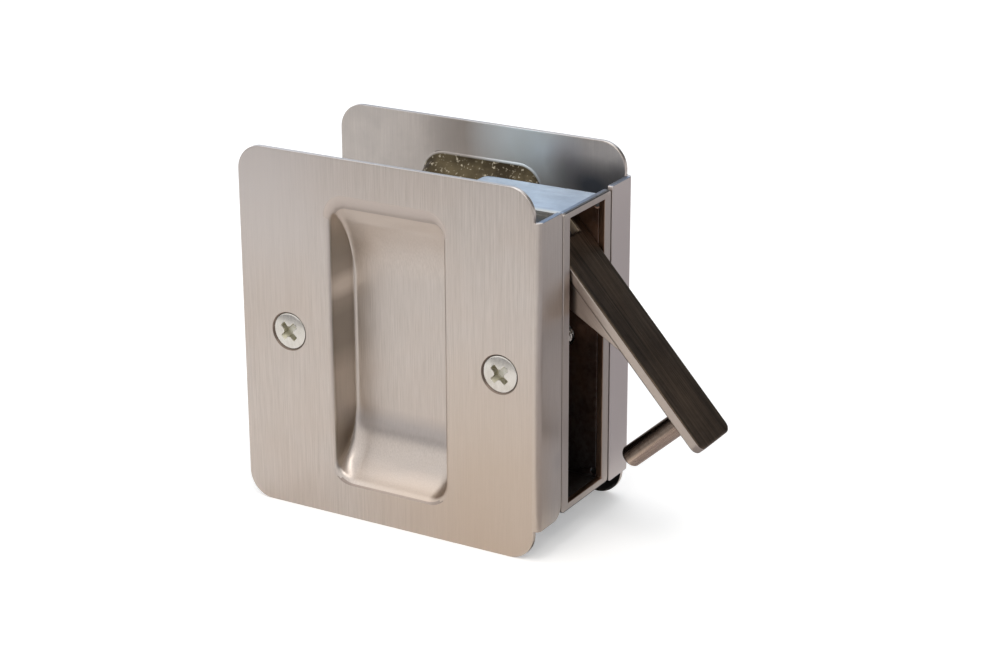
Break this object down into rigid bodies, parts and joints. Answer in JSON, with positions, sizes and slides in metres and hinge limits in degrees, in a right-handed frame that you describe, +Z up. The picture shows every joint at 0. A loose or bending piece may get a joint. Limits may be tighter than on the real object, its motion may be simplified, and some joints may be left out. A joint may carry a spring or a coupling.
{
  "type": "pocket door passage lock",
  "caption": "Pocket door passage set: cupped plates clamp both faces of a notched door, and a sprung bar swings out of the edge case so that fingers can draw the door from its pocket.",
  "frame": {"origin": "middle of the edge frame's outer face, where the door's edge lies, half way up and between the plates", "axes": "+X leaves the door edge, +Y from the screw side to the blind side, +Z up"},
  "size_m": [0.0899, 0.0351, 0.0698],
  "materials": {
    "satin_nickel": "satin nickel plated sheet, brushed upright",
    "zinc_sheet": "zinc plated sheet",
    "dark_nickel": "satin nickel plated casting, brushed along the bar",
    "stud_nickel": "turned and nickel plated",
    "bright_steel": "bright steel",
    "screw_nickel": "bright nickel plated screw",
    "black_rubber": "matt rubber",
    "white_nylon": "natural nylon"
  },
  "bodies": {
    "pull_set": {"front_plate": "satin_nickel", "rear_plate": "satin_nickel", "edge_frame": "satin_nickel", "case_channel": "zinc_sheet", "case_top": "zinc_sheet", "case_bottom": "zinc_sheet", "pivot_pin": "bright_steel", "return_spring": "bright_steel", "catch_clip": "bright_steel", "catch_rivets": "bright_steel", "threaded_posts": "bright_steel", "through_screws": "screw_nickel", "stud_buffer": "black_rubber", "pivot_washers": "white_nylon"},
    "pull": {"edge_pull": "dark_nickel", "pull_stud": "stud_nickel"}
  },
  "joints": [
    {"name": "pull_swing", "type": "hinge", "parent": "pull_set", "child": "pull", "pos_m": [-0.0054, 0, 0.0157], "axis": [0, 1, 0], "range_deg": [0, 42], "stiffness_Nm_per_rad": 0.02, "springref_deg": -34.38, "deforming": ["return_spring"]}
  ]
}
